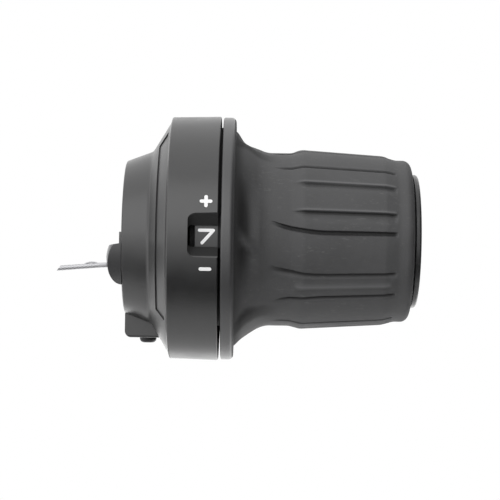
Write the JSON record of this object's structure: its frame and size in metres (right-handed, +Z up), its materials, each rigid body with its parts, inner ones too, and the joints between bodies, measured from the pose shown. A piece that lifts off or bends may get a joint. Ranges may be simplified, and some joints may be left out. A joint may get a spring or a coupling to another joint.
{
  "type": "twist grip shifter",
  "caption": "Bicycle twist grip shifter: a bar-clamped housing with a numbered gear window, and a grooved rubber grip that clicks round the bar and winds in a shift cable.",
  "frame": {"origin": "on the bar axis at the housing's inboard end face", "axes": "+X along the bar towards the grip's outer end, -Y out of the gear window, +Z up"},
  "size_m": [0.0804, 0.0557, 0.0558],
  "materials": {
    "housing_plastic": "fine moulded grain, dark grey",
    "inner_plastic": "smooth black nylon",
    "indicator_plastic": "smooth dark grey with white printed numbers",
    "end_plastic": "semi-gloss black",
    "grip_rubber": "matte, slightly dusty",
    "white_nylon": "natural nylon",
    "black_steel": "black oxide",
    "plated_steel": "zinc plated",
    "wire_steel": "stranded stainless wire",
    "spring_steel": "blued spring steel"
  },
  "bodies": {
    "housing": {"main_housing": "housing_plastic", "bearing_sleeve": "inner_plastic", "clamp_screw": "black_steel", "screw_washer": "black_steel", "clamp_nut": "plated_steel", "cable_outlet": "housing_plastic", "cable_liner": "white_nylon", "cable_guide": "white_nylon", "shift_cable": "wire_steel", "detent_spring": "spring_steel", "retaining_ring": "spring_steel", "spring_washer": "spring_steel", "end_retainer": "end_plastic"},
    "grip": {"grip_rubber": "grip_rubber", "grip_core": "inner_plastic", "gear_indicator": "indicator_plastic", "cable_spool": "inner_plastic", "spool_screws": "plated_steel", "cable_nipple": "wire_steel", "thrust_washer": "white_nylon"}
  },
  "joints": [
    {"name": "grip_twist", "type": "hinge", "parent": "housing", "child": "grip", "pos_m": [0.0434, 0, 0], "axis": [1, 0, 0], "range_deg": [0, 75], "deforming": ["shift_cable", "detent_spring"]}
  ]
}
